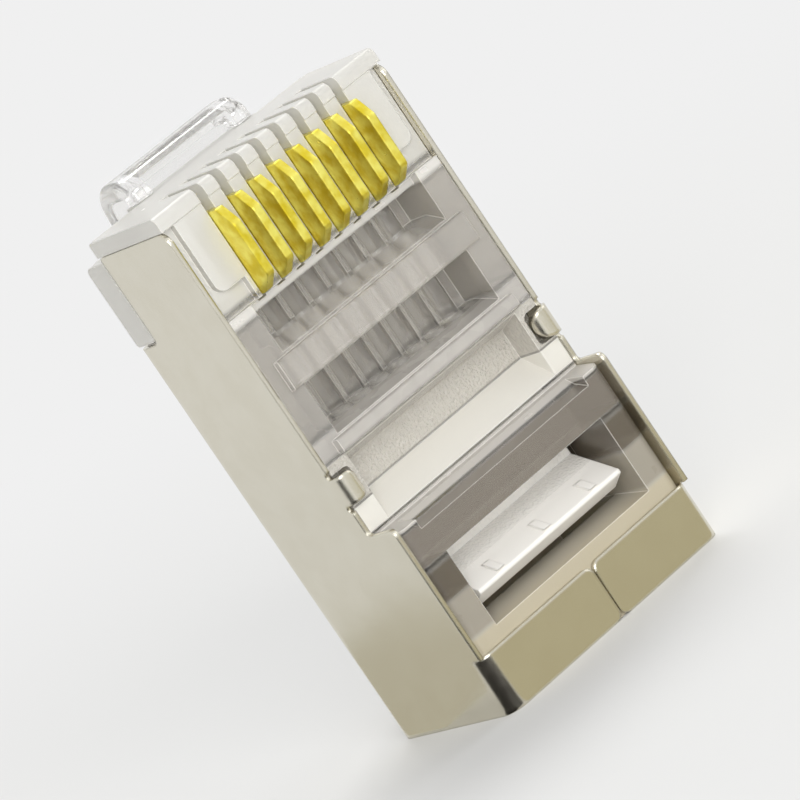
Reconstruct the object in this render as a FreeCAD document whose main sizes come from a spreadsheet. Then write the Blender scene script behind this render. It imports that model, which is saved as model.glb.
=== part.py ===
import FreeCAD, Part
import math
import os
import re

import Sketcher

# Shielded 8-position modular plug, standing on its cable end.
#
# The origin is the centre of the rectangular cable end. +Z runs from the cable end to the nose, the
# contacts face -Y, the latch is on the +Y side, and X runs across the row of contacts. Millimetres.

# ---------------------------------------------------------------------------------------------------
# Driving dimensions
# ---------------------------------------------------------------------------------------------------

SIZES = {
    # Sheet-metal shield
    "plugWidth": 11.6,          # across the outside of the two side walls
    "frontHeight": 6.3,         # base to the wall's edge beside the contacts
    "rearHeight": 7.9,          # base to the folded flaps at the cable end
    "shieldLength": 21.1,       # cable end to the walls' front edge
    "sheet": 0.2,               # thickness of the sheet
    "bendRadius": 0.7,          # outside radius of every lengthwise fold
    "flapLength": 2.3,          # the two folded flaps, along Z
    "seamGap": 0.08,            # between the two flaps
    "seamOffset": 0.27,         # the seam is off the middle
    "flapCorner": 0.35,         # rounding of the flaps at the seam
    "stepHeight": 8.0,          # where the wall's edge steps down towards the nose
    "stepRound": 0.3,
    "wallCorner": 0.5,          # rounding of each wall's front corner
    "notchLength": 3.75,        # the latch-side notch, back from the walls' front edge
    "notchDepth": 1.6,          # the notch, measured in from the base
    "notchRound": 0.25,
    # Retention tabs cut from the walls and rolled into the housing
    "tabStart": 9.3,
    "tabTipFlat": 0.15,         # the tab's end between its two rounded corners
    "tabBend": 0.42,            # outside radius of the roll
    "tabCrown": 0.11,           # the flat top of the roll, between its two bends
    "tabTail": 0.1,             # the straight end after the roll
    "tabTip": 0.5,              # rounding of the tab's end, seen from above
    "reliefWidth": 0.26,
    "reliefDepth": 0.14,
    # Clear housing
    "shieldFit": 0.02,          # clearance between the housing and the sheet
    "noseLip": 0.65,            # the nose in front of the walls
    "noseRound": 0.3,
    "lipGap": 0.03,             # between the walls' front edge and the lip
    "lipBack": 2.45,            # Y of the lip's latch side
    "railSetback": 0.2,         # the rails that fill the notch, below the walls' front edge
    "railRound": 0.3,
    "notchFit": 0.12,           # clearance around the rails in the notch
    "railInset": 0.05,          # the rails below the walls' outside
    "deckDrop": 0.05,           # the deck below the walls' edge
    "rootHalfWidth": 3.15,      # the block at the nose that carries the latch
    "rootBack": 3.35,
    "rootLength": 2.25,
    # Contact comb
    "contactCount": 8,
    "contactPitch": 1.02,
    "slotWidth": 0.4,
    "slotLength": 4.75,
    "slotFloor": 0.0,           # Y of the slots' floor at the nose
    "channelDiameter": 0.86,
    "channelAxis": -0.1,        # Y of the row of conductor channels
    "channelStart": 9.5,
    "channelSetback": 0.2,      # the channels' ends below the walls' front edge
    "padInner": 3.95,
    "padOuter": 5.2,
    "padLength": 3.0,
    "padRound": 0.4,
    "padRelief": 0.3,           # the ground around the pads, below the deck
    "combLength": 4.6,          # from the nose to the first window
    # Windows and ridges of the contact side, from the nose to the cable end
    "windowHalf": 4.4,
    "windowFloor": -0.25,
    "ledgeTop": -1.85,
    "ledgeLength": 0.4,
    "ridgeSpan": 5.0,
    "ridgeOnePlace": 0.584,     # share of the bay from the trough to the comb
    "ridgeOneWidth": 1.2,
    "ridgeOneTop": -2.58,
    "ridgeOneFoot": -1.35,
    "ridgeOneRun": 0.5,
    "ridgeTwoSpan": 4.8,
    "ridgeTwoPlace": 0.23,
    "ridgeTwoWidth": 0.55,
    "ridgeTwoTop": -2.66,
    "ridgeTwoFoot": -0.95,
    "ridgeTwoRun": 0.4,
    "ridgeRound": 0.1,
    "troughHalf": 4.6,
    "troughFloor": -0.95,
    "troughSlope": 0.6,
    "troughStart": 9.1,
    "stepLine": 7.5,
    "stepLineTop": -3.05,
    "deckStart": 7.3,
    "tabPocketInner": 4.78,
    "tabPocketFloor": -1.4,
    "tabPocketMargin": 0.08,
    "tabPocketRound": 0.25,
    # Rear window, jacket anchor and cable cavity
    "rearWindowHalf": 4.25,
    "beamStart": 6.1,
    "rampFoot": 3.1,
    "rampTop": 2.87,
    "lintelFloor": -1.7,        # Y of the cavity's roof at its mouth
    "cavityHalf": 4.3,
    "cavityRoof": -1.0,
    "cavityFloor": 3.12,
    "cavityBend": 6.5,          # where the cavity starts to narrow to the channels
    "cavityEnd": 9.8,
    "cavityTipRoof": -0.65,
    "cavityTipFloor": 0.6,
    "anchorHalf": 3.9,
    "anchorRootGap": 0.1,
    "anchorWeb": 0.3,
    "anchorNoseFoot": 5.25,
    "anchorApexHeight": 4.08,
    "anchorApex": -3.55,
    "anchorHeelHeight": 3.5,
    "anchorHeel": -2.55,
    "anchorRound": 0.12,
    "pipWidth": 0.35,
    "pipPitch": 2.56,
    "pipRise": 0.18,
    "pipSetback": 0.34,         # from the wedge's ridge to the pips' middle, along Z
    # Contact blades
    "bladeFit": 0.025,          # clearance on each side of a blade in its slot
    "bladeTop": -3.3,
    "bladeRecess": 1.07,        # from the nose to the blade's front
    "bladeLength": 3.48,
    "bladeRearSlope": 0.56,
    "bladeFrontSlope": 0.74,
    "bladeFrontTop": -2.82,
    "bladeBackTop": -2.55,
    "bladeRound": 0.25,
    "bladeHeel": -1.55,         # Y of the blade's lower edge, between its teeth
    "toothTip": -0.85,
    "toothWidth": 0.55,
    "toothInset": 0.55,
    # Latch
    "latchHalf": 3.1,
    "pivotY": 4.1,
    "pivotRise": 0.1,           # the bend's centre above the nose
    "latchRootGap": 0.03,
    "latchOuter": 0.98,         # outside radius of the bend at the nose
    "latchInner": 0.2,          # inside radius of the bend
    "latchFlat": 0.61,          # between the bend's two quarters
    "leverAngle": 11.0,
    "leverLength": 14.8,
    "latchWindowHalf": 2.3,
    "latchWindowRise": 0.72,
    "latchWindowBack": 4.0,
    "shoulderDrop": 7.85,       # from the nose to the lever's shoulder
    "thumbHalf": 1.625,
    "shoulderRound": 0.3,
    "latchEdge": 0.28,          # rounding of the lever's long edges
    "overcut": 0.5,             # how far a cut starts outside the solid
}

# Places that follow from the driving dimensions.
PLACES = {
    "halfWidth": "plugWidth / 2",
    "back": "rearHeight / 2",
    "flapTop": "-rearHeight / 2",
    "edge": "back - frontHeight",
    "innerHalf": "halfWidth - sheet - shieldFit",
    "backIn": "back - sheet - shieldFit",
    "raisedTop": "flapTop + sheet + shieldFit",
    "innerBend": "bendRadius - sheet",
    "deck": "edge + deckDrop",
    "nose": "shieldLength + noseLip",
    "notchHeight": "shieldLength - notchLength",
    "railEnd": "shieldLength - railSetback",
    "rootStart": "nose - rootLength",
    "slotStart": "nose - slotLength",
    "channelEnd": "shieldLength - channelSetback",
    "padStart": "shieldLength - padLength",
    "combEnd": "nose - combLength",
    "ledgeEnd": "combEnd - ledgeLength",
    "bay": "combEnd - troughStart",
    "ridgeOneStart": "troughStart + bay * ridgeOnePlace",
    "ridgeOneEnd": "ridgeOneStart + ridgeOneWidth",
    "ridgeTwoStart": "troughStart + bay * ridgeTwoPlace",
    "ridgeTwoEnd": "ridgeTwoStart + ridgeTwoWidth",
    "troughEnd": "ridgeTwoStart - troughSlope",
    "bladeFront": "nose - bladeRecess",
    "bladeStart": "bladeFront - bladeLength",
    "bladeFlatStart": "bladeStart + bladeRearSlope",
    "bladeFlatEnd": "bladeFront - bladeFrontSlope",
    "pivotZ": "nose + pivotRise",
    "latchWindowEnd": "nose + latchWindowRise",
    "shoulderHeight": "nose - shoulderDrop",
    "notchTop": "back - notchDepth",
    "tabWidth": "2 * tabTip + tabTipFlat",
    "tabEnd": "tabStart + tabWidth",
    "tabReach": "2 * tabBend + tabCrown",
    "tabTipX": "halfWidth - tabReach",
    "seamLow": "seamOffset - seamGap / 2",
    "seamHigh": "seamOffset + seamGap / 2",
    "rowStart": "-contactPitch * (contactCount - 1) / 2",
    "rowLength": "contactPitch * (contactCount - 1)",
    "bladeHalf": "slotWidth / 2 - bladeFit",
    "anchorRoot": "beamStart - anchorRootGap",
    "slopeGrade": "(anchorApex - cavityRoof + anchorWeb) / (anchorApexHeight - anchorNoseFoot)",
    "pipHeight": "anchorApexHeight + pipSetback",
    "pipLow": "pipHeight - pipWidth / 2",
    "pipHigh": "pipHeight + pipWidth / 2",
    "armCentre": "pivotY - latchFlat",
    "latchFoot": "nose + latchRootGap",
    "miter": "cos((90 - leverAngle) / 2)",
    "miterAngle": "(90 + leverAngle) / 2",
    "leverRunY": "leverLength * sin(leverAngle)",
    "leverRunZ": "-leverLength * cos(leverAngle)",
}

NORMALS = {"X": "YZ_Plane", "Y": "XZ_Plane", "Z": "XY_Plane"}


def expand(formula):
    """Write a formula in names of sizes and places as a spreadsheet expression."""
    def cell(match):
        name = match.group()
        if name in SIZES:
            return "Sizes." + name
        if name in PLACES:
            return "(" + expand(PLACES[name]) + ")"
        return name
    return re.sub(r"[A-Za-z]\w*", cell, formula)


def minus(formula):
    return "-(" + formula + ")"


def make_sheet(doc):
    sheet = doc.addObject("Spreadsheet::Sheet", "Sizes")
    for row, (name, value) in enumerate(SIZES.items(), start=1):
        sheet.set("A%d" % row, name)
        sheet.set("B%d" % row, str(value))
        sheet.setAlias("B%d" % row, name)
    doc.recompute()
    return sheet


# ---------------------------------------------------------------------------------------------------
# Sketches: closed outlines whose corners and roundings are bound to the sheet
# ---------------------------------------------------------------------------------------------------

def constrain(sketch, formula, *constraint):
    """Add one dimension and bind it to the sheet."""
    value = sketch.evalExpression(expand(formula))
    index = sketch.addConstraint(Sketcher.Constraint(*constraint, value))
    sketch.setExpression("Constraints[%d]" % index, expand(formula))


def place_point(sketch, geometry, position, u, v):
    """Hold a point at formulas u and v from the sketch's origin."""
    constrain(sketch, u, "DistanceX", -1, 1, geometry, position)
    constrain(sketch, v, "DistanceY", -1, 1, geometry, position)


def add_circle(sketch, u, v, radius):
    centre = FreeCAD.Vector(*[sketch.evalExpression(expand(text)) for text in (u, v)], 0)
    circle = Part.Circle(centre, FreeCAD.Vector(0, 0, 1), sketch.evalExpression(expand(radius)))
    index = sketch.addGeometry(circle)
    place_point(sketch, index, 3, u, v)
    constrain(sketch, radius, "Radius", index)


def rounding(before, corner, after, radius):
    """The arc that rounds a corner, and whether the outline turns left there."""
    into = (corner - before).normalize()
    out = (after - corner).normalize()
    turn = math.atan2(into.x * out.y - into.y * out.x, into.dot(out))
    tangent = radius * math.tan(abs(turn) / 2)
    first = corner - into * tangent
    last = corner + out * tangent
    left = turn > 0
    side = FreeCAD.Vector(-into.y, into.x, 0) * (radius if left else -radius)
    circle = Part.Circle(first + side, FreeCAD.Vector(0, 0, 1), radius)
    ends = (first, last) if left else (last, first)
    return Part.ArcOfCircle(circle, *[circle.parameter(end) for end in ends]), first, last, left


def add_outline(sketch, corners):
    """Draw a closed outline. A corner is (u, v), or (u, v, radius) where it is rounded."""
    count = len(corners)
    points = []
    for corner in corners:
        values = [sketch.evalExpression(expand(text)) for text in corner[:2]]
        points.append(FreeCAD.Vector(*values, 0))
    starts = list(points)
    ends = list(points)
    arcs = {}
    for i, corner in enumerate(corners):
        if len(corner) == 3:
            radius = sketch.evalExpression(expand(corner[2]))
            following = points[(i + 1) % count]
            arc, ends[i], starts[i], left = rounding(points[i - 1], points[i], following, radius)
            arcs[i] = (sketch.addGeometry(arc), left)
    lines = []
    for i in range(count):
        lines.append(sketch.addGeometry(Part.LineSegment(starts[i], ends[(i + 1) % count])))
    for i, corner in enumerate(corners):
        before = lines[i - 1]
        after = lines[i]
        if i not in arcs:
            sketch.addConstraint(Sketcher.Constraint("Coincident", before, 2, after, 1))
            place_point(sketch, after, 1, corner[0], corner[1])
            continue
        arc, left = arcs[i]
        enter, leave = (1, 2) if left else (2, 1)
        sketch.addConstraint(Sketcher.Constraint("Tangent", before, 2, arc, enter))
        sketch.addConstraint(Sketcher.Constraint("Tangent", after, 1, arc, leave))
        apex = sketch.addGeometry(Part.Point(points[i]), True)
        sketch.addConstraint(Sketcher.Constraint("PointOnObject", apex, 1, before))
        sketch.addConstraint(Sketcher.Constraint("PointOnObject", apex, 1, after))
        place_point(sketch, apex, 1, corner[0], corner[1])
        constrain(sketch, corner[2], "Radius", arc)


def box_outline(low_u, high_u, low_v, high_v, *radius):
    return [(low_u, low_v, *radius), (high_u, low_v, *radius),
            (high_u, high_v, *radius), (low_u, high_v, *radius)]


def mirrored(outline):
    """The same outline on the other side of the first coordinate's zero."""
    return [(minus(corner[0]), *corner[1:]) for corner in outline]


# ---------------------------------------------------------------------------------------------------
# Features
# ---------------------------------------------------------------------------------------------------

def origin_feature(body, role):
    """The body's own origin plane or axis with this role."""
    for feature in body.Origin.OriginFeatures:
        if feature.Role == role:
            return feature
    raise ValueError("no origin feature " + role)


def prism(body, kind, name, axis, low, high, *outlines):
    """Pad or pocket outlines along an axis, from low to high.

    The outlines' coordinates are Y, Z along X, then X, Z along Y, then X, Y along Z. The plane across
    Y faces -Y, so the sketch lies at the high end there. A circle is (u, v, radius) in a tuple.
    """
    sketch = body.newObject("Sketcher::SketchObject", name + "Sketch")
    sketch.AttachmentSupport = [(origin_feature(body, NORMALS[axis]), "")]
    sketch.MapMode = "FlatFace"
    start = minus(high) if axis == "Y" else low
    sketch.setExpression("AttachmentOffset.Base.z", expand(start))
    for outline in outlines:
        if isinstance(outline, tuple):
            add_circle(sketch, *outline)
        else:
            add_outline(sketch, outline)
    before = body.Shape.Volume if body.Tip else 0.0
    feature = body.newObject("PartDesign::" + kind, name)
    feature.Profile = sketch
    feature.setExpression("Length", expand("(%s) - (%s)" % (high, low)))
    feature.Reversed = kind == "Pocket"
    body.Document.recompute()
    change = body.Shape.Volume - before
    if (change >= 0) if kind == "Pocket" else (change <= 0):
        raise RuntimeError("%s of %s changes nothing" % (name, body.Label))
    return feature


def pad(body, name, axis, low, high, *outlines):
    return prism(body, "Pad", name, axis, low, high, *outlines)


def pocket(body, name, axis, low, high, *outlines):
    return prism(body, "Pocket", name, axis, low, high, *outlines)


def repeat_across(body, feature):
    """Repeat a feature for each contact position, along +X."""
    pattern = body.newObject("PartDesign::LinearPattern", feature.Name + "Row")
    pattern.Originals = [feature]
    pattern.Direction = (origin_feature(body, "X_Axis"), [""])
    pattern.setExpression("Length", expand("rowLength"))
    pattern.setExpression("Occurrences", expand("contactCount"))
    body.Tip = pattern
    body.Document.recompute()


def round_edges(body, name, radius, chosen):
    """Fillet each edge of the body that the test chooses."""
    edges = ["Edge%d" % i for i, edge in enumerate(body.Shape.Edges, start=1) if chosen(edge)]
    if not edges:
        raise RuntimeError("%s of %s finds no edge" % (name, body.Label))
    base = body.Tip
    fillet = body.newObject("PartDesign::Fillet", name)
    fillet.Base = (base, edges)
    fillet.setExpression("Radius", expand(radius))
    body.Document.recompute()


def new_body(doc, label):
    body = doc.addObject("PartDesign::Body", label)
    body.Label = label
    return body


# ---------------------------------------------------------------------------------------------------
# The pieces
# ---------------------------------------------------------------------------------------------------

def make_shield(doc):
    body = new_body(doc, "shield")
    add_folded_sheet(body)
    trim_walls(body)
    add_retention_tabs(body)
    cut_seam(body)
    return body


def add_folded_sheet(body):
    """A closed collar at the cable end, and a channel with two straight walls in front of it."""
    pad(body, "Collar", "Z", "0", "flapLength",
        box_outline("-halfWidth", "halfWidth", "flapTop", "back", "bendRadius"),
        box_outline("-halfWidth + sheet", "halfWidth - sheet", "flapTop + sheet", "back - sheet",
                    "innerBend"))
    tall = "flapTop - overcut"
    pad(body, "Channel", "Z", "flapLength", "shieldLength + overcut", [
        ("-halfWidth", tall), ("-halfWidth + sheet", tall),
        ("-halfWidth + sheet", "back - sheet", "innerBend"),
        ("halfWidth - sheet", "back - sheet", "innerBend"),
        ("halfWidth - sheet", tall), ("halfWidth", tall),
        ("halfWidth", "back", "bendRadius"), ("-halfWidth", "back", "bendRadius")])


def trim_walls(body):
    """Cut the walls' edge to its stepped line, with the latch-side notch and the base's front edge."""
    outside = "flapTop - 2 * overcut"
    above = "shieldLength + 2 * overcut"
    pocket(body, "WallEdge", "X", "-halfWidth - overcut", "halfWidth + overcut", [
        (outside, "flapLength"), ("flapTop", "flapLength"),
        ("flapTop", "stepHeight", "stepRound"), ("edge", "stepHeight", "stepRound / 2"),
        ("edge", "shieldLength", "wallCorner"), ("notchTop", "shieldLength", "notchRound / 2"),
        ("notchTop", "notchHeight", "notchRound"), ("back + overcut", "notchHeight"),
        ("back + overcut", above), (outside, above)])


def add_retention_tabs(body):
    """One tongue on each wall's edge, with a small relief on each side of it, rolled into the plug."""
    floor = "edge + reliefDepth"
    slots = []
    for low, high in (("tabStart - reliefWidth", "tabStart"), ("tabEnd", "tabEnd + reliefWidth")):
        slots.append([("edge - overcut", low), (floor, low, "reliefDepth * 0.8"),
                      (floor, high, "reliefDepth * 0.8"), ("edge - overcut", high)])
    pocket(body, "TabRelief", "X", "-halfWidth - overcut", "halfWidth + overcut", *slots)
    foot = "edge + sheet"
    crest = "edge - tabBend"
    under = "edge - tabBend + sheet"
    tail = "edge + tabTail"
    roll = [
        ("halfWidth", foot), ("halfWidth", crest, "tabBend"),
        ("tabTipX", crest, "tabBend"), ("tabTipX", tail), ("tabTipX + sheet", tail),
        ("tabTipX + sheet", under, "tabBend - sheet"), ("halfWidth - sheet", under, "tabBend - sheet"),
        ("halfWidth - sheet", foot)]
    pad(body, "TabRoll", "Z", "tabStart", "tabEnd", roll, mirrored(roll))
    inward = "tabTipX + tabTip + tabTip / 10"
    tip = [
        ("tabTipX - overcut", "tabStart - overcut"), (inward, "tabStart - overcut"),
        (inward, "tabStart"), ("tabTipX", "tabStart", "tabTip"),
        ("tabTipX", "tabEnd", "tabTip"), (inward, "tabEnd"),
        (inward, "tabEnd + overcut"), ("tabTipX - overcut", "tabEnd + overcut")]
    pocket(body, "TabTip", "Y", crest + " - overcut", tail + " + sheet", tip, mirrored(tip))


def cut_seam(body):
    """Part the two flaps, with a rounded corner at each end of the seam."""
    low = "seamLow - flapCorner - seamGap"
    high = "seamHigh + flapCorner + seamGap"
    beyond = "flapLength + overcut"
    pocket(body, "Seam", "Y", "flapTop - overcut", "flapTop + sheet * 1.5", [
        (low, "-overcut"), (high, "-overcut"), (high, "0"), ("seamHigh", "0", "flapCorner"),
        ("seamHigh", "flapLength", "flapCorner"), (high, "flapLength"), (high, beyond), (low, beyond),
        (low, "flapLength"), ("seamLow", "flapLength", "flapCorner"),
        ("seamLow", "0", "flapCorner"), (low, "0")])


def make_housing(doc):
    body = new_body(doc, "housing")
    add_moulded_block(body)
    add_nose(body)
    add_ridges(body)
    cut_cable_cavity(body)
    cut_contact_comb(body)
    cut_windows(body)
    cut_tab_pockets(body)
    return body


def add_moulded_block(body):
    """The block inside the sheet, with its lengthwise corners rounded like the folds."""
    pad(body, "Block", "X", "-innerHalf", "innerHalf", [
        ("backIn", "0"), ("backIn", "railEnd"), ("lipBack", "railEnd"),
        ("lipBack", "nose"), ("deck", "nose", "noseRound"), ("deck", "stepHeight - stepRound / 2"),
        ("raisedTop", "stepHeight - stepRound"), ("raisedTop", "0")])
    rows = [body.Document.Sizes.evalExpression(expand(text)) for text in ("backIn", "raisedTop")]

    def is_fold_corner(edge):
        along = edge.tangentAt(edge.FirstParameter)
        return abs(along.z) > 0.999 and min(abs(edge.CenterOfMass.y - row) for row in rows) < 1e-6

    round_edges(body, "FoldCorners", "innerBend", is_fold_corner)


def add_nose(body):
    """The lip in front of the walls, the rails that fill the notch, and the latch's root."""
    pad(body, "Lip", "X", "-halfWidth", "halfWidth", [
        ("lipBack", "shieldLength + lipGap"), ("lipBack", "nose", "noseRound / 2"),
        ("edge", "nose", "noseRound"), ("edge", "shieldLength + lipGap")])
    rail = "halfWidth - railInset"
    pad(body, "Rails", "X", minus(rail), rail, [
        ("notchTop + notchFit", "notchHeight + notchFit", "railRound / 2"),
        ("backIn", "notchHeight + notchFit", "railRound / 2"),
        ("backIn", "railEnd", "railRound"), ("notchTop + notchFit", "railEnd")])
    pad(body, "LatchRoot", "X", "-rootHalfWidth", "rootHalfWidth", [
        ("lipBack - sheet", "rootStart"), ("rootBack", "rootStart"), ("rootBack", "nose"),
        ("lipBack - sheet", "nose")])


def add_ridges(body):
    """Two cross ridges that stand a little above the deck between the windows."""
    low = "deck + overcut"
    pad(body, "RidgeOne", "X", "-ridgeSpan", "ridgeSpan", [
        (low, "ridgeOneEnd"), ("ridgeOneTop", "ridgeOneEnd", "ridgeRound"),
        ("ridgeOneTop", "ridgeOneStart", "ridgeRound"), (low, "ridgeOneStart")])
    pad(body, "RidgeTwo", "X", "-ridgeTwoSpan", "ridgeTwoSpan", [
        (low, "ridgeTwoEnd"), ("ridgeTwoTop", "ridgeTwoEnd", "ridgeRound"),
        ("ridgeTwoTop", "ridgeTwoStart", "ridgeRound"), (low, "ridgeTwoStart")])


def cut_cable_cavity(body):
    """The cavity for the cable, open at the cable end and narrowing to the channels."""
    pocket(body, "CableCavity", "X", "-cavityHalf", "cavityHalf", [
        ("lintelFloor", "-overcut"), ("cavityFloor", "-overcut"), ("cavityFloor", "cavityBend"),
        ("cavityTipFloor", "cavityEnd"), ("cavityTipRoof", "cavityEnd"),
        ("cavityRoof", "beamStart"), ("cavityRoof", "rampFoot"), ("lintelFloor", "rampFoot")])


def cut_contact_comb(body):
    """A conductor channel and a contact slot for each position, and the ground around the pads."""
    channel = pocket(body, "Channel", "Z", "channelStart", "channelEnd",
                     ("rowStart", "channelAxis", "channelDiameter / 2"))
    repeat_across(body, channel)
    slot = pocket(body, "Slot", "X", "rowStart - slotWidth / 2", "rowStart + slotWidth / 2", [
        ("deck - overcut", "slotStart"), ("channelAxis", "slotStart"),
        ("slotFloor", "channelEnd"), ("slotFloor", "nose + overcut"), ("deck - overcut", "nose + overcut")])
    repeat_across(body, slot)
    ground = [
        ("padInner", "combEnd"), ("halfWidth", "combEnd"), ("halfWidth", "shieldLength"),
        ("padOuter", "shieldLength"), ("padOuter", "padStart", "padRound"), ("padInner", "padStart")]
    pocket(body, "PadGround", "Y", "deck - overcut", "deck + padRelief", ground, mirrored(ground))


def cut_windows(body):
    """The windows over the channels, the trough, and the window that holds the jacket anchor."""
    above = "flapTop - overcut"
    pocket(body, "WindowOne", "X", "-windowHalf", "windowHalf", [
        (above, "combEnd"), ("deck", "combEnd", "ridgeRound"), ("ledgeTop", "combEnd - ridgeRound"),
        ("ledgeTop", "ledgeEnd", "ridgeRound"), ("windowFloor", "ledgeEnd - ridgeRound"),
        ("windowFloor", "ridgeOneEnd + ridgeOneRun"), ("ridgeOneFoot", "ridgeOneEnd + ridgeOneRun"),
        ("ridgeOneTop", "ridgeOneEnd", "ridgeRound"), (above, "ridgeOneEnd")])
    pocket(body, "WindowTwo", "X", "-windowHalf", "windowHalf", [
        (above, "ridgeOneStart"), ("windowFloor", "ridgeOneStart - ridgeRound"),
        ("windowFloor", "ridgeTwoEnd + ridgeTwoRun"), ("ridgeTwoFoot", "ridgeTwoEnd + ridgeTwoRun"),
        ("ridgeTwoTop", "ridgeTwoEnd", "ridgeRound"), (above, "ridgeTwoEnd")])
    pocket(body, "Trough", "X", "-troughHalf", "troughHalf", [
        (above, "ridgeTwoStart"), ("ridgeTwoTop", "ridgeTwoStart", "ridgeRound"),
        ("troughFloor", "troughEnd", "ridgeRound"), ("troughFloor", "troughStart", "ridgeRound"),
        ("stepLineTop", "stepLine"), ("raisedTop", "deckStart", "ridgeRound"), (above, "deckStart")])
    pocket(body, "RearWindow", "X", "-rearWindowHalf", "rearWindowHalf", [
        (above, "rampTop"), ("raisedTop", "rampTop"), ("lintelFloor", "rampFoot", "ridgeRound"),
        ("cavityRoof + overcut", "rampFoot"), ("cavityRoof + overcut", "beamStart"), (above, "beamStart")])


def cut_tab_pockets(body):
    """A pocket on each side, for the shield's retention tab."""
    well = box_outline("tabPocketInner", "halfWidth", "tabStart - tabPocketMargin",
                       "tabEnd + tabPocketMargin", "tabPocketRound")
    pocket(body, "TabPockets", "Y", "deck - overcut", "tabPocketFloor", well, mirrored(well))


def make_jacket_anchor(doc):
    """The wedge bar that is pressed onto the cable's jacket. It turns on its web, at its nose end."""
    body = new_body(doc, "jacket_anchor")
    web = "cavityRoof - anchorWeb"
    pad(body, "Wedge", "X", "-anchorHalf", "anchorHalf", [
        ("cavityRoof", "anchorRoot"), (web, "anchorRoot"), (web, "anchorNoseFoot"),
        ("anchorApex", "anchorApexHeight", "anchorRound"), ("anchorHeel", "anchorHeelHeight", "anchorRound"),
        ("cavityRoof", "anchorHeelHeight", "anchorRound")])
    low, high = ["%s + slopeGrade * (%s - anchorNoseFoot)" % (web, place) for place in ("pipLow", "pipHigh")]
    for index, place in enumerate(("-pipPitch", "0", "pipPitch"), start=1):
        pad(body, "Pip%d" % index, "X", place + " - pipWidth / 2", place + " + pipWidth / 2", [
            (low + " - pipRise", "pipLow"), (high + " - pipRise", "pipHigh"),
            (high + " + pipRise", "pipHigh"), (low + " + pipRise", "pipLow")])
    return body


def make_contact(doc, number):
    """One blade: a flat contact edge, and two teeth that pierce a conductor."""
    body = new_body(doc, "contact_%d" % number)
    tooth = ["bladeStart + toothInset", "bladeFront - toothInset - toothWidth"]
    corners = [
        ("bladeFrontTop", "bladeFront", "bladeRound / 3"), ("bladeTop", "bladeFlatEnd", "bladeRound"),
        ("bladeTop", "bladeFlatStart", "bladeRound"), ("bladeBackTop", "bladeStart", "bladeRound"),
        ("bladeHeel", "bladeStart")]
    for start in tooth:
        corners += [("bladeHeel", start), ("toothTip", start + " + toothWidth / 2"),
                    ("bladeHeel", start + " + toothWidth")]
    corners.append(("bladeHeel", "bladeFront"))
    pad(body, "Blade", "X", "-bladeHalf", "bladeHalf", corners)
    body.setExpression("Placement.Base.x", expand("rowStart + contactPitch * %d" % (number - 1)))
    return body


def make_latch(doc):
    """Two arms that rise from the nose, a bend, and a lever that leans out towards the cable end."""
    body = new_body(doc, "latch")

    def around(radius, reach):
        """The three corners of one side of the bent strip, ending at the lever's far end."""
        return [
            ("armCentre - " + radius, "pivotZ + " + radius, radius),
            ("pivotY + %s * cos(miterAngle) / miter" % radius,
             "pivotZ + %s * sin(miterAngle) / miter" % radius, radius),
            ("pivotY + %s * cos(leverAngle) + leverRunY" % radius,
             "pivotZ + %s * sin(leverAngle) + leverRunZ" % radius, *reach)]

    outer = around("latchOuter", ["(latchOuter - latchInner) * 0.4"])
    inner = around("latchInner", ["(latchOuter - latchInner) * 0.4"])
    strip = [("armCentre - latchOuter", "latchFoot")] + outer
    strip += inner[::-1] + [("armCentre - latchInner", "latchFoot")]
    pad(body, "Strip", "X", "-latchHalf", "latchHalf", strip)
    half = body.Document.Sizes.latchHalf
    foot = body.Document.Sizes.evalExpression(expand("latchFoot"))

    def is_side_edge(edge):
        centre = edge.CenterOfMass
        return abs(abs(centre.x) - half) < 1e-6 and abs(centre.z - foot) > 1e-6

    round_edges(body, "StripEdges", "latchEdge", is_side_edge)
    pocket(body, "LatchWindow", "X", "-latchWindowHalf", "latchWindowHalf",
           box_outline("armCentre - latchOuter - overcut", "latchWindowBack", "latchFoot - overcut",
                       "latchWindowEnd"))
    side = [
        ("thumbHalf", "0"), ("latchHalf + overcut", "0"), ("latchHalf + overcut", "shoulderHeight"),
        ("thumbHalf", "shoulderHeight", "shoulderRound")]
    pocket(body, "ThumbTab", "Y", "back", "back + rearHeight", side, mirrored(side))
    return body


def main():
    doc = FreeCAD.newDocument("ModularPlug")
    make_sheet(doc)
    bodies = [make_shield(doc), make_housing(doc), make_jacket_anchor(doc), make_latch(doc)]
    for number in range(1, SIZES["contactCount"] + 1):
        bodies.append(make_contact(doc, number))
    doc.recompute()
    for item in doc.Objects:
        if "Invalid" in item.State or "Error" in item.State:
            raise RuntimeError("%s is %s" % (item.Name, item.State))
    for body in bodies:
        if body.Shape.isNull() or not body.Shape.isValid() or len(body.Shape.Solids) != 1:
            raise RuntimeError(body.Label + " is not one valid solid")
    os.makedirs("parts", exist_ok=True)
    for body in bodies:
        body.Shape.exportStep("parts/%s.step" % body.Label)
        box = body.Shape.BoundBox
        print("%-14s %8.3f mm3  x %.2f..%.2f  y %.2f..%.2f  z %.2f..%.2f" % (
            body.Label, body.Shape.Volume, box.XMin, box.XMax, box.YMin, box.YMax, box.ZMin, box.ZMax))


main()
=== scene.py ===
"""Looks of a shielded modular plug: its finishes, softened edges, light, floor and camera.

Lengths are in metres in the part's own frame, apart from those that say millimetres, which are
multiplied by MM. +Z runs from the cable end to the nose, the contacts face -Y and the latch is on the
+Y side.
"""

import logging
import math
from dataclasses import dataclass, field
from enum import Enum
from typing import Any, Mapping, Sequence, Union

import bpy
from mathutils import Matrix, Vector


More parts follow.
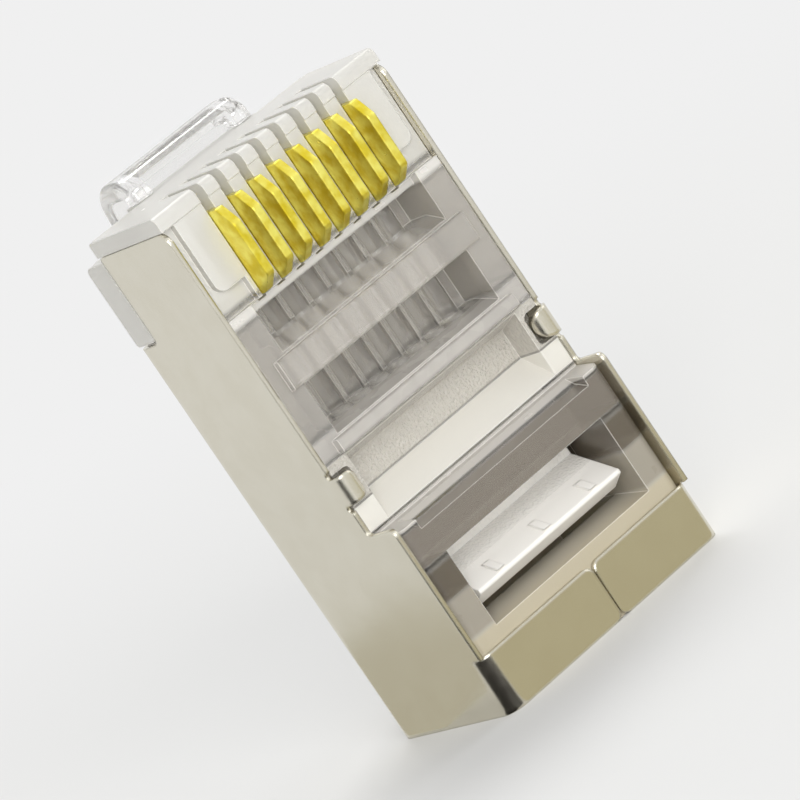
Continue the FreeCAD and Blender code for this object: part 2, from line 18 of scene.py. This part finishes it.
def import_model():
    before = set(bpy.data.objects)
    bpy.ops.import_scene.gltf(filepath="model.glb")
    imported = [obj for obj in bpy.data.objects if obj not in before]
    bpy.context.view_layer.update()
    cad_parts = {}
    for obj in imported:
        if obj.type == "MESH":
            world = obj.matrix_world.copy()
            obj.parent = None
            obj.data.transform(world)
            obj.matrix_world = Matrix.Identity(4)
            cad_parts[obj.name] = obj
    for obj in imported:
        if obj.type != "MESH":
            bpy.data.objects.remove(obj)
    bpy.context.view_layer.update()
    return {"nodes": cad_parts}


LOG = logging.getLogger("modular_plug")
MM = 0.001
BEVEL_SAMPLES = 6
EDGE_RAMP = (0.03, 0.22)    # how far a rounded normal leaves its face's own, for no mark and a full one of the painted edge highlight
CLOUD_RAMP = (0.3, 0.7)     # the levels of a noise that its clouds run between
Colour = tuple[float, float, float]


def linear(red: float, green: float, blue: float) -> Colour:
    """Turn a display colour into scene-linear light.

    Args:
        red: Red on the display, from 0 to 255.
        green: Green on the display, from 0 to 255.
        blue: Blue on the display, from 0 to 255.

    Returns:
        The colour's linear red, green and blue, from 0 to 1.
    """
    def channel(level: float) -> float:
        """Follow the display's standard curve, a straight toe and then a power."""
        share = level / 255
        return share / 12.92 if share <= 0.04045 else ((share + 0.055) / 1.055) ** 2.4
    return channel(red), channel(green), channel(blue)


# ---------------------------------------------------------------------------------------------------
# Shader maths
# ---------------------------------------------------------------------------------------------------

class Signal:
    """A node's output socket, with the arithmetic that expressions on numbers need."""

    def __init__(self, graph: "Graph", socket: bpy.types.NodeSocket) -> None:
        """Wrap a socket of a graph."""
        self.graph = graph
        self.socket = socket

    def _math(self, operation: str, *values: "Operand", clamp: bool = False) -> "Signal":
        """Add a Math node.

        Args:
            operation: The Math node's operation.
            *values: Its inputs, in order.
            clamp: Whether the result is held between 0 and 1.

        Returns:
            The node's result.
        """
        settings = {"operation": operation, "use_clamp": clamp}
        return self.graph.node("ShaderNodeMath", settings, dict(enumerate(values)))

    def __add__(self, other: "Operand") -> "Signal":
        """Add a number or signal."""
        return self._math("ADD", self, other)

    def __radd__(self, other: "Operand") -> "Signal":
        """Add to a number."""
        return self._math("ADD", other, self)

    def __rsub__(self, other: "Operand") -> "Signal":
        """Take this from a number."""
        return self._math("SUBTRACT", other, self)

    def __mul__(self, other: "Operand") -> "Signal":
        """Multiply by a number or signal."""
        return self._math("MULTIPLY", self, other)

    def held(self) -> "Signal":
        """Hold the value between 0 and 1."""
        return self._math("ADD", self, 0.0, clamp=True)

    def ramp(self, low: float, high: float) -> "Signal":
        """Rise smoothly from 0 at low to 1 at high.

        Args:
            low: The value that gives 0.
            high: The value that gives 1. It may be the smaller of the two.

        Returns:
            The eased share.
        """
        settings = {"interpolation_type": "SMOOTHSTEP", "clamp": True}
        if low < high:
            sockets = {"Value": self, "From Min": low, "From Max": high, "To Min": 0.0, "To Max": 1.0}
        else:
            sockets = {"Value": self, "From Min": high, "From Max": low, "To Min": 1.0, "To Max": 0.0}
        return self.graph.node("ShaderNodeMapRange", settings, sockets)

    def within(self, low: float, high: float, soft: float) -> "Signal":
        """Mark the values between two limits.

        Args:
            low: The lower limit.
            high: The upper limit.
            soft: The width of the edge at each limit.

        Returns:
            1 between the limits, easing to 0 outside them.
        """
        return self.ramp(low - soft, low + soft) * self.ramp(high + soft, high - soft)


Operand = Union[float, Signal, Colour, Sequence[float]]


@dataclass(frozen=True)
class Grain:
    """A noise's grain: grains per metre, finer octaves, and a factor that draws it out along an axis."""

    scale: float
    detail: float
    stretch: Sequence[float] = (1.0, 1.0, 1.0)


class Graph:
    """A material's or world's node tree."""

    MIX_SHARE, MIX_FIRST, MIX_SECOND, MIX_RESULT = 0, 6, 7, 2

    def __init__(self, tree: bpy.types.NodeTree) -> None:
        """Start from an empty tree."""
        self.tree = tree
        tree.nodes.clear()

    def node(self, kind: str, settings: Mapping[str, Any] | None = None,
             sockets: Mapping[str | int, Operand] | None = None, output: str | int = 0) -> Signal:
        """Add a node.

        Args:
            kind: The node's type.
            settings: Its properties, which are set first.
            sockets: Values or signals for its inputs, by name or number.
            output: The output to return.

        Returns:
            The chosen output.
        """
        made = self.tree.nodes.new(kind)
        for name, value in (settings or {}).items():
            setattr(made, name, value)
        for name, value in (sockets or {}).items():
            if isinstance(value, Signal):
                self.tree.links.new(value.socket, made.inputs[name])
            else:
                made.inputs[name].default_value = value
        return Signal(self, made.outputs[output])

    def constant(self, value: float) -> Signal:
        """Add a number that expressions can build on.

        Args:
            value: The number.

        Returns:
            The number as a signal.
        """
        made = self.node("ShaderNodeValue")
        made.socket.default_value = value
        return made

    def blend(self, share: Operand, first: Operand, second: Operand) -> Signal:
        """Mix two colours.

        Args:
            share: 0 gives the first and 1 the second.
            first: A colour.
            second: A colour.

        Returns:
            The mixed colour.
        """
        return self.node("ShaderNodeMix", {"data_type": "RGBA"}, {
            self.MIX_SHARE: share,
            self.MIX_FIRST: self._opaque(first),
            self.MIX_SECOND: self._opaque(second),
        }, output=self.MIX_RESULT)

    def place(self) -> tuple[Signal, dict[str, Signal]]:
        """Find where on the object a surface is.

        Returns:
            The point in the part's frame, whole and by axis.
        """
        point = self.node("ShaderNodeTexCoord", output="Object")
        axes = {name: self.node("ShaderNodeSeparateXYZ", sockets={0: point}, output=name) for name in "XYZ"}
        return point, axes

    def noise(self, point: Signal, grain: Grain) -> Signal:
        """Add a noise of a given grain.

        Args:
            point: The place on the object.
            grain: Its grain.

        Returns:
            The noise, about 0.5.
        """
        drawn = self.node("ShaderNodeVectorMath", {"operation": "MULTIPLY"},
                          {0: point, 1: tuple(grain.stretch)})
        return self.node("ShaderNodeTexNoise", None,
                         {"Vector": drawn, "Scale": grain.scale, "Detail": grain.detail})

    def bump(self, height: Signal, depth: float, normal: Signal) -> Signal:
        """Add a Bump node.

        Args:
            height: The relief, from 0 to 1.
            depth: The relief's depth in metres.
            normal: The normal to bend further.

        Returns:
            The bent normal.
        """
        return self.node("ShaderNodeBump", None,
                         {"Height": height, "Distance": depth, "Strength": 1.0, "Normal": normal})

    def soft_edge(self, radius: float) -> Signal:
        """Round the shading of sharp edges.

        Args:
            radius: The rounding's radius in metres.

        Returns:
            The rounded normal.
        """
        return self.node("ShaderNodeBevel", {"samples": BEVEL_SAMPLES}, {"Radius": radius})

    def edge_mark(self, rounded: Signal) -> Signal:
        """Mark the sharp edges, where the rounded normal leaves the face's own; the plastic paints its edge
        highlights with this.

        Args:
            rounded: The rounded normal.

        Returns:
            1 at the edges, easing to 0 on the faces.
        """
        own = self.node("ShaderNodeNewGeometry", output="Normal")
        across = self.node("ShaderNodeVectorMath", {"operation": "DOT_PRODUCT"}, {0: rounded, 1: own},
                           output="Value")
        return (1.0 - across).ramp(*EDGE_RAMP)

    def principled(self, colour: Operand, rough: Operand, normal: Signal,
                   others: Mapping[str, float]) -> Signal:
        """Add a Principled shader.

        Args:
            colour: Its base colour.
            rough: Its roughness.
            normal: Its normal.
            others: Its other inputs, by name.

        Returns:
            The shader.
        """
        return self.node("ShaderNodeBsdfPrincipled", None, {
            "Base Color": self._opaque(colour), "Roughness": rough, "Normal": normal, **others})

    def plain(self, kind: str, colour: Colour, strength: float = 1.0) -> Signal:
        """Add light of one colour.

        Args:
            kind: The node's type, an emission or a background.
            colour: The light's colour.
            strength: The light's strength.

        Returns:
            The shader.
        """
        return self.node(kind, None, {"Color": self._opaque(colour), "Strength": strength})

    def mix(self, share: Signal, first: Signal, second: Signal) -> Signal:
        """Mix two shaders.

        Args:
            share: 0 gives the first and 1 the second.
            first: A shader.
            second: A shader.

        Returns:
            The mixed shader.
        """
        return self.node("ShaderNodeMixShader", None, {0: share, 1: first, 2: second})

    def finish(self, shader: Signal, kind: str = "ShaderNodeOutputMaterial") -> None:
        """Send a shader to the tree's output.

        Args:
            shader: The shader.
            kind: The output node's type.
        """
        made = self.tree.nodes.new(kind)
        self.tree.links.new(shader.socket, made.inputs["Surface"])

    @staticmethod
    def _opaque(colour: Operand) -> Operand:
        """Give a plain colour the alpha that a colour input needs, and pass a signal on."""
        return colour if isinstance(colour, Signal) else (*colour, 1.0)


# ---------------------------------------------------------------------------------------------------
# Finishes
# ---------------------------------------------------------------------------------------------------

class Finish:
    """What every finish shares: a name, and a way to make its material."""

    name: str

    def shader(self, graph: Graph) -> Signal:
        """Build the shader.

        Args:
            graph: The material's graph.

        Returns:
            The surface shader.
        """
        raise NotImplementedError

    def material(self) -> bpy.types.Material:
        """Make the material.

        Returns:
            A new material with this finish's nodes.
        """
        made = bpy.data.materials.new(self.name)
        made.use_nodes = True
        graph = Graph(made.node_tree)
        graph.finish(self.shader(graph))
        return made


@dataclass(frozen=True)
class MilkAndPaintedShadeBand:
    """A stretch of a moulding, in millimetres along Z, with a skin of its own colour and grit: milkier
    plastic in the pale bands, painted shade in the dark ones.
    """

    low: float
    high: float
    share: float
    colour: Colour = linear(250, 247, 241)
    grit: float = 0.3
    soft: float = 0.15


@dataclass(frozen=True)
class ClearPolycarbonate(Finish):
    """Moulded polycarbonate: clear below a faint milky skin, frosted in some bands, with painted shade and
    edge highlights.
    """

    name: str = "clear_polycarbonate"
    tint: Colour = (0.995, 0.99, 0.98)
    milk: Colour = linear(250, 247, 241)
    haze: float = 0.05              # the skin's share outside the bands
    haze_least: float = 0.75        # of the haze, where the smear is thinnest
    haze_swing: float = 0.5         # of the haze, added where the smear is thickest
    bands: tuple[MilkAndPaintedShadeBand, ...] = ()
    refraction: float = 1.585
    polish: float = 0.06
    smear_rough: float = 0.05
    milk_rough: float = 0.06
    frost: float = 0.3              # the roughness that a full skin adds
    grit_gloss: float = 0.2         # how much of the frost a band's grit takes away
    smear_grain: Grain = Grain(900.0, 3.0)
    grit_grain: Grain = Grain(9000.0, 2.0)
    wave: float = 0.0008 * MM
    grit: float = 0.012 * MM
    edge: float = 0.07 * MM
    painted_edge_share: float = 0.5         # the skin that an edge adds, a painted highlight; below 0, a painted dark outline

    def shader(self, graph: Graph) -> Signal:
        """Build clear plastic under a milky skin that grows in the frosted bands, with painted shade and
        edge highlights.

        Args:
            graph: The material's graph.

        Returns:
            The surface shader.
        """
        point, axes = graph.place()
        smear = graph.noise(point, self.smear_grain)
        skin = smear * (self.haze * self.haze_swing) + self.haze * self.haze_least
        milk: Operand = self.milk
        relief = graph.constant(0.0)
        # Where a band's colour is dark, the skin paints shade: the look of the shaded inside seen through
        # the plastic.
        for band in self.bands:
            here = axes["Z"].within(band.low * MM, band.high * MM, band.soft * MM)
            skin = skin + here * band.share
            milk = graph.blend(here, milk, band.colour)
            relief = relief + here * band.grit
        rounded = graph.soft_edge(self.edge)
        # Painted highlight: the sharp edges go back to the plain milk and take more skin, which draws pale
        # lines along them.
        painted_edge_light = graph.edge_mark(rounded)
        milk = graph.blend(painted_edge_light, milk, self.milk)
        skin = (skin + painted_edge_light * self.painted_edge_share).held()
        grit = graph.noise(point, self.grit_grain) * relief
        normal = graph.bump(grit, self.grit, graph.bump(smear, self.wave, rounded))
        frost = skin * self.frost * (1.0 - relief * self.grit_gloss).held()
        rough = self.polish + smear * self.smear_rough + frost
        clear = graph.principled(self.tint, rough, normal,
                                 {"IOR": self.refraction, "Transmission Weight": 1.0})
        milky = graph.principled(milk, rough + self.milk_rough, normal, {"IOR": self.refraction})
        return graph.mix(skin, clear, milky)


@dataclass(frozen=True)
class NickelSheet(Finish):
    """Nickel-plated sheet with a fine rolled grain and a faint haze."""

    name: str = "nickel_sheet"
    bright: Colour = linear(222, 218, 204)
    dull: Colour = linear(216, 211, 195)
    polish: float = 0.15
    cloud_rough: float = 0.05
    grain_rough: float = 0.08
    cloud_share: float = 0.5        # how much of the dull colour the clouds bring, and the grain
    grain_share: float = 0.5
    cloud_grain: Grain = Grain(700.0, 4.0)
    rolled_grain: Grain = Grain(14000.0, 3.0, stretch=(1.0, 1.0, 0.2))
    grain: float = 0.0003 * MM
    edge: float = 0.17 * MM

    def shader(self, graph: Graph) -> Signal:
        """Build plated metal with drawn-out grain and haze.

        Args:
            graph: The material's graph.

        Returns:
            The surface shader.
        """
        point, _axes = graph.place()
        cloud = graph.noise(point, self.cloud_grain)
        grain = graph.noise(point, self.rolled_grain)
        share = (cloud.ramp(*CLOUD_RAMP) * self.cloud_share + grain * self.grain_share).held()
        colour = graph.blend(share, self.bright, self.dull)
        rough = self.polish + cloud * self.cloud_rough + grain * self.grain_rough
        normal = graph.bump(grain, self.grain, graph.soft_edge(self.edge))
        return graph.principled(colour, rough, normal, {"Metallic": 1.0})


@dataclass(frozen=True)
class GoldPlate(Finish):
    """Gold-plated contact blade with a stamped edge."""

    name: str = "gold_plate"
    bright: Colour = linear(255, 246, 126)
    deep: Colour = linear(228, 206, 52)
    polish: float = 0.24
    cloud_rough: float = 0.12
    cloud_grain: Grain = Grain(1500.0, 3.0)
    dent_grain: Grain = Grain(3200.0, 2.0)
    dent: float = 0.009 * MM
    edge: float = 0.1 * MM

    def shader(self, graph: Graph) -> Signal:
        """Build plated gold with small dents.

        Args:
            graph: The material's graph.

        Returns:
            The surface shader.
        """
        point, _axes = graph.place()
        cloud = graph.noise(point, self.cloud_grain)
        dent = graph.noise(point, self.dent_grain)
        colour = graph.blend(cloud.ramp(*CLOUD_RAMP), self.bright, self.deep)
        normal = graph.bump(dent, self.dent, graph.soft_edge(self.edge))
        return graph.principled(colour, self.polish + cloud * self.cloud_rough, normal, {"Metallic": 1.0})


# ---------------------------------------------------------------------------------------------------
# The plug's sub-assemblies
# ---------------------------------------------------------------------------------------------------

@dataclass
class SubAssembly:
    """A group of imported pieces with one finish."""

    nodes: Mapping[str, bpy.types.Object]
    names: Sequence[str]
    finish: Finish

    def dress(self) -> None:
        """Give each piece its finish."""
        material = self.finish.material()
        for name in self.names:
            piece = self.nodes[name]
            piece.data.materials.clear()
            piece.data.materials.append(material)
            LOG.info("%s: %s", name, self.finish.name)


def moulded_housing() -> ClearPolycarbonate:
    """Choose the housing's finish: milky at the comb and in the trough, faintly so at its windows, with
    painted shade in the rear bands and on the trough's front slope.

    Returns:
        The finish, with its bands from the cable end to the nose.
    """
    return ClearPolycarbonate("housing_polycarbonate", bands=(
        # The four bands up to 7.5 mm are taupe to dark brown: painted shade of the shaded cavity and metal
        # seen through the clear plastic.
        MilkAndPaintedShadeBand(-1.0, 3.0, 0.55, linear(232, 221, 194)),
        MilkAndPaintedShadeBand(3.0, 4.6, 0.42, linear(214, 206, 190), grit=0.0),
        MilkAndPaintedShadeBand(4.6, 5.9, 0.42, linear(128, 118, 104), grit=0.0),
        MilkAndPaintedShadeBand(6.1, 7.5, 0.42, linear(158, 149, 138), grit=0.0, soft=0.05),
        MilkAndPaintedShadeBand(7.6, 7.95, 0.55, linear(236, 231, 223), grit=0.0, soft=0.05),
        MilkAndPaintedShadeBand(8.05, 9.1, 0.85, linear(238, 235, 226), soft=0.05),
        # Frosted, and darker than the trough floor below it so that the crease shows: partly frost, partly
        # painted shade.
        MilkAndPaintedShadeBand(9.15, 10.9, 0.66, linear(226, 221, 211), grit=9.0, soft=0.05),
        MilkAndPaintedShadeBand(11.0, 11.85, 0.42, linear(238, 233, 226)),
        MilkAndPaintedShadeBand(12.0, 16.6, 0.24, linear(240, 234, 225)),
        MilkAndPaintedShadeBand(16.75, 17.2, 0.6),
        MilkAndPaintedShadeBand(17.4, 23.0, 0.56, linear(244, 242, 235)),
    ))


@dataclass
class Housing(SubAssembly):
    """The clear moulding that holds the contacts."""

    names: Sequence[str] = ("housing",)
    finish: Finish = field(default_factory=moulded_housing)


@dataclass
class JacketAnchor(SubAssembly):
    """The wedge bar over the cable, of milkier plastic because of its rough mould."""

    names: Sequence[str] = ("jacket_anchor",)
    # A negative edge share leaves the edges clearer than the faces: a painted dark outline.
    finish: Finish = ClearPolycarbonate("anchor_polycarbonate", haze=1.1, polish=0.12, painted_edge_share=-0.55,
                                       bands=(MilkAndPaintedShadeBand(4.75, 6.2, 0.0, grit=6.0),))


@dataclass
class Latch(SubAssembly):
    """The lever, which is the clearest part of the moulding."""

    names: Sequence[str] = ("latch",)
    finish: Finish = ClearPolycarbonate("latch_polycarbonate", haze=0.03)


@dataclass
class Shield(SubAssembly):
    """The folded sheet."""

    names: Sequence[str] = ("shield",)
    finish: Finish = NickelSheet()


@dataclass
class ContactRow(SubAssembly):
    """The eight gold-plated blades."""

    names: Sequence[str] = tuple(f"contact_{number}" for number in range(1, 9))
    finish: Finish = GoldPlate()


# ---------------------------------------------------------------------------------------------------
# Studio
# ---------------------------------------------------------------------------------------------------

class Lamp(Enum):
    """The soft square lamps: where each stands, its side and its power in watts."""

    KEY = ((-0.13, -0.28, 0.12), 0.20, 0.68)
    TOP = ((0.10, 0.11, 0.30), 0.14, 0.47)
    SIDE = ((0.24, -0.10, 0.12), 0.16, 0.12)


class PaintedReflection(Enum):
    """Sheets on the floor that glow and only gloss sees, as painted reflections: each one's colour and
    corners, in millimetres.
    """

    # Painted reflection of a dark contact shadow beside the flaps, for the dark band along their bend.
    DARK = (linear(20, 15, 10), (
        (-5.9, -3.2), (-5.2, -4.4), (-5.6, -16.0), (-14.0, -32.0), (-60.0, -62.0),
        (-100.0, -82.0), (-112.0, -30.0), (-60.0, -10.0), (-24.0, 4.0)))
    # Painted shadow of the floor by the wall's foot, reflected so that the wall darkens towards its base.
    SHADE = (linear(200, 196, 181), ((-6.0, 1.0), (-6.0, 22.0), (-20.0, 22.0), (-14.0, 1.0)))
    # Painted reflection of a lit khaki surround, seen in the flaps.
    KHAKI = (linear(196, 189, 160), (
        (-5.0, -4.0), (-5.0, -12.0), (-7.0, -42.0), (70.0, -42.0), (20.0, -4.0)))


@dataclass
class Studio:
    """The floor, the light and the world around the plug."""

    backdrop: Colour = linear(240, 240, 240)
    fill_colour: Colour = (1.0, 1.0, 1.0)
    floor_colour: Colour = linear(224, 224, 223)
    fill: float = 0.52
    floor_half: float = 1.2
    fade: Sequence[float] = (0.03, 0.11)    # from the plug, where the floor starts and ends its fading
    painted_reflection_height: float = 0.02 * MM
    aim: Sequence[float] = (0.0, 0.0, 0.011)
    bounces: int = 40
    glossy_bounces: int = 24
    transmission_bounces: int = 32

    def build(self) -> None:
        """Make the floor, the world and the lamps."""
        self._let_light_through()
        self._make_world()
        self._make_floor()
        for painted_sheet in PaintedReflection:
            self._make_painted_reflection(painted_sheet)
        for lamp in Lamp:
            self._make_lamp(lamp)
        LOG.info("studio: floor, world, flags and lamps")

    def _let_light_through(self) -> None:
        """Follow light through all the plastic's faces, so that none of them goes black."""
        cycles = bpy.context.scene.cycles
        cycles.max_bounces = self.bounces
        cycles.glossy_bounces = self.glossy_bounces
        cycles.transmission_bounces = self.transmission_bounces

    def _make_world(self) -> None:
        """Light the object from all round, and show the backdrop to what looks at it."""
        world = bpy.data.worlds.new("studio")
        world.use_nodes = True
        bpy.context.scene.world = world
        graph = Graph(world.node_tree)
        fill = graph.plain("ShaderNodeBackground", self.fill_colour, self.fill)
        shown = graph.plain("ShaderNodeBackground", self.backdrop)
        graph.finish(graph.mix(self._seen_rays(graph), fill, shown), "ShaderNodeOutputWorld")

    @staticmethod
    def _seen_rays(graph: Graph) -> Signal:
        """Mark the rays that look at a surface, straight or through gloss and glass.

        Args:
            graph: The graph to mark them in.

        Returns:
            1 for those rays and 0 for the rest.
        """
        camera, glossy, through = (
            graph.node("ShaderNodeLightPath", output=name)
            for name in ("Is Camera Ray", "Is Glossy Ray", "Is Transmission Ray"))
        return (camera + glossy + through).held()

    @staticmethod
    def _add_sheet(name: str, corners: Sequence[Sequence[float]]) -> tuple[bpy.types.Object, Graph]:
        """Add a flat sheet with a material of its own.

        Args:
            name: The name of the sheet, its mesh and its material.
            corners: Its corners, in order.

        Returns:
            The sheet and its material's graph.
        """
        mesh = bpy.data.meshes.new(name)
        mesh.from_pydata(corners, [], [tuple(range(len(corners)))])
        sheet = bpy.data.objects.new(name, mesh)
        bpy.context.scene.collection.objects.link(sheet)
        material = bpy.data.materials.new(name)
        material.use_nodes = True
        mesh.materials.append(material)
        return sheet, Graph(material.node_tree)

    def _make_floor(self) -> None:
        """Lay a pale floor that keeps the plug's shadow and fades into the backdrop."""
        half = self.floor_half
        floor, graph = self._add_sheet(
            "floor", [(-half, -half, 0), (half, -half, 0), (half, half, 0), (-half, half, 0)])
        point, _axes = graph.place()
        reach = graph.node("ShaderNodeVectorMath", {"operation": "LENGTH"}, {0: point}, output="Value")
        matte = graph.node("ShaderNodeBsdfDiffuse", None, {"Color": (*self.floor_colour, 1.0)})
        glow = graph.plain("ShaderNodeEmission", self.backdrop)
        graph.finish(graph.mix(reach.ramp(*self.fade) * self._seen_rays(graph), matte, glow))

    def _make_painted_reflection(self, kind: PaintedReflection) -> None:
        """Lay a glowing sheet beside the plug that only its gloss sees, which paints a reflection into the
        metal.

        Args:
            kind: Which painted reflection.
        """
        colour, corners = kind.value
        painted_sheet, graph = self._add_sheet(
            "painted_reflection_" + kind.name.lower(), [(x * MM, y * MM, self.painted_reflection_height) for x, y in corners])
        graph.finish(graph.plain("ShaderNodeEmission", colour))
        painted_sheet.visible_camera = painted_sheet.visible_diffuse = painted_sheet.visible_shadow = painted_sheet.visible_transmission = False

    def _make_lamp(self, kind: Lamp) -> None:
        """Add a lamp aimed at the plug.

        Args:
            kind: Which lamp.
        """
        name = kind.name.lower()
        place, side, power = kind.value
        data = bpy.data.lights.new(name, "AREA")
        data.shape = "SQUARE"
        data.size = side
        data.energy = power
        lamp = bpy.data.objects.new(name, data)
        bpy.context.scene.collection.objects.link(lamp)
        lamp.location = Vector(place)
        aim = Vector(self.aim) - lamp.location
        lamp.rotation_euler = aim.to_track_quat("-Z", "Y").to_euler()


@dataclass
class ViewPoint:
    """The camera: a long lens in front of the contact side, rolled about its own axis."""

    azimuth: float = math.radians(-31.34)
    elevation: float = math.radians(9.81)
    roll: float = math.radians(-33.97)
    distance: float = 0.222
    lens: float = 276.0             # in millimetres, as the sensor's width is
    sensor_width: float = 36.0
    nearest: float = 0.01
    farthest: float = 10.0
    target: Sequence[float] = (0.0, -0.05 * MM, 11.0 * MM)
    shift: Sequence[float] = (0.0047, -0.0134)

    def build(self) -> None:
        """Make the camera and set it as the scene's."""
        data = bpy.data.cameras.new("view")
        data.lens = self.lens
        data.sensor_width = self.sensor_width
        data.clip_start = self.nearest
        data.clip_end = self.farthest
        data.shift_x, data.shift_y = self.shift
        camera = bpy.data.objects.new("view", data)
        bpy.context.scene.collection.objects.link(camera)
        away = Vector((math.sin(self.azimuth) * math.cos(self.elevation),
                       -math.cos(self.azimuth) * math.cos(self.elevation), math.sin(self.elevation)))
        right = (-away).cross(Vector((0, 0, 1))).normalized()
        up = right.cross(-away)
        cosine, sine = math.cos(self.roll), math.sin(self.roll)
        across = right * cosine + up * sine
        upward = up * cosine - right * sine
        turn = Matrix((across, upward, away)).transposed().to_4x4()
        camera.matrix_world = Matrix.Translation(Vector(self.target) + away * self.distance) @ turn
        bpy.context.scene.camera = camera
        LOG.info("camera: %.0f mm lens at %.0f mm", self.lens, self.distance / MM)


def main() -> None:
    """Load the frame, dress each sub-assembly, and set the studio and the camera."""
    logging.basicConfig(level=logging.INFO, format="%(message)s")
    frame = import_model()
    for assembly in (Housing, JacketAnchor, Latch, Shield, ContactRow):
        assembly(frame["nodes"]).dress()
    Studio().build()
    ViewPoint().build()
    bpy.context.scene.view_settings.view_transform = "Standard"


if __name__ == "__main__":
    main()
